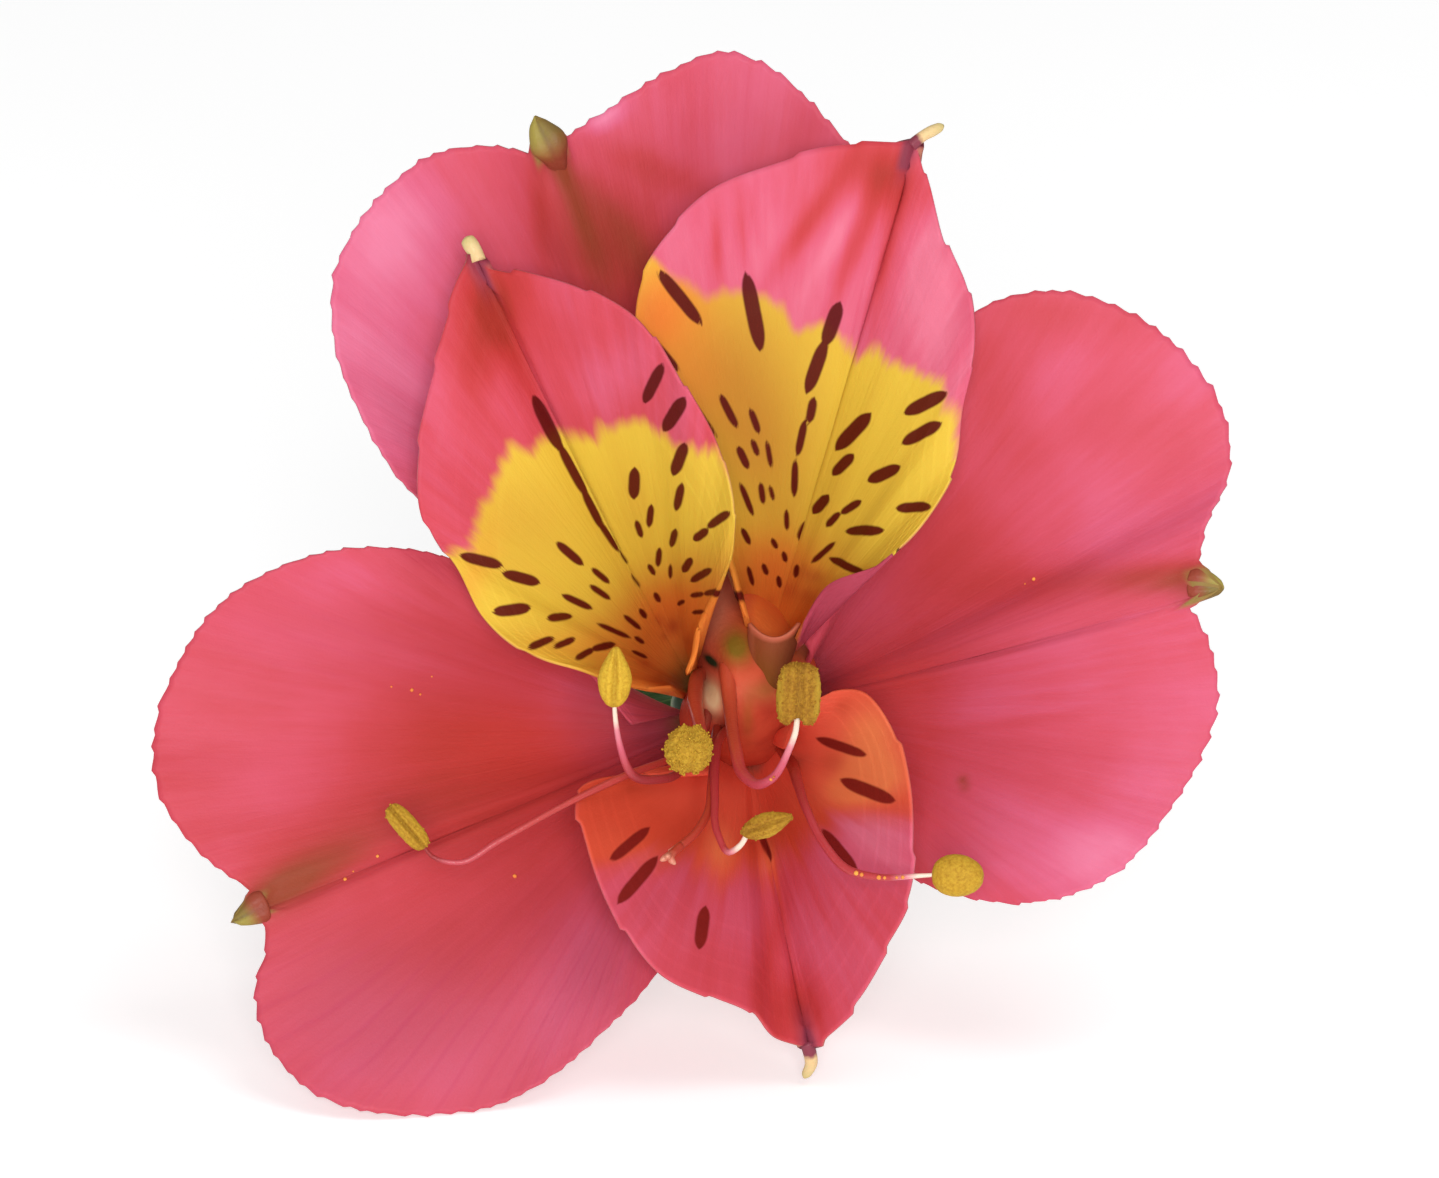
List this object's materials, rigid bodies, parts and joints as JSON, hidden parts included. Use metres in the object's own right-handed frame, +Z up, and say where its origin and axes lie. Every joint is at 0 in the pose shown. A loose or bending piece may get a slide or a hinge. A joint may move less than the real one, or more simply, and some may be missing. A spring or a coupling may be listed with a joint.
{
  "type": "alstroemeria stem",
  "caption": "Short cut stem of alstroemeria with one open coral-pink bloom, bracts and leaves, lying on a surface.",
  "frame": {"origin": "centre of the bounding box's bottom face, on the surface that the flower lies on", "axes": "+Z up, -Y the way the bloom faces, +Y along the stem to its cut end"},
  "size_m": [0.07, 0.1418, 0.0645],
  "materials": {
    "outer_tepal": "satin",
    "inner_tepal": "satin",
    "filament": "satin",
    "anther": "matte",
    "stem": "satin",
    "leaf": "satin"
  },
  "bodies": {
    "root": {"outer_tepal_top": "outer_tepal", "outer_tepal_right": "outer_tepal", "outer_tepal_left": "outer_tepal", "inner_tepal_left": "inner_tepal", "inner_tepal_right": "inner_tepal", "inner_tepal_lower": "inner_tepal", "filament_1": "filament", "filament_2": "filament", "filament_3": "filament", "filament_4": "filament", "filament_5": "filament", "filament_6": "filament", "style": "filament", "anther_1": "anther", "anther_2": "anther", "anther_3": "anther", "anther_4": "anther", "anther_5": "anther", "anther_6": "anther", "ovary": "stem", "pedicel": "stem", "stem": "stem", "bract_1": "leaf", "bract_2": "leaf", "bract_3": "leaf", "bract_4": "leaf", "leaf_1": "leaf", "leaf_2": "leaf", "leaf_3": "leaf"}
  },
  "joints": []
}
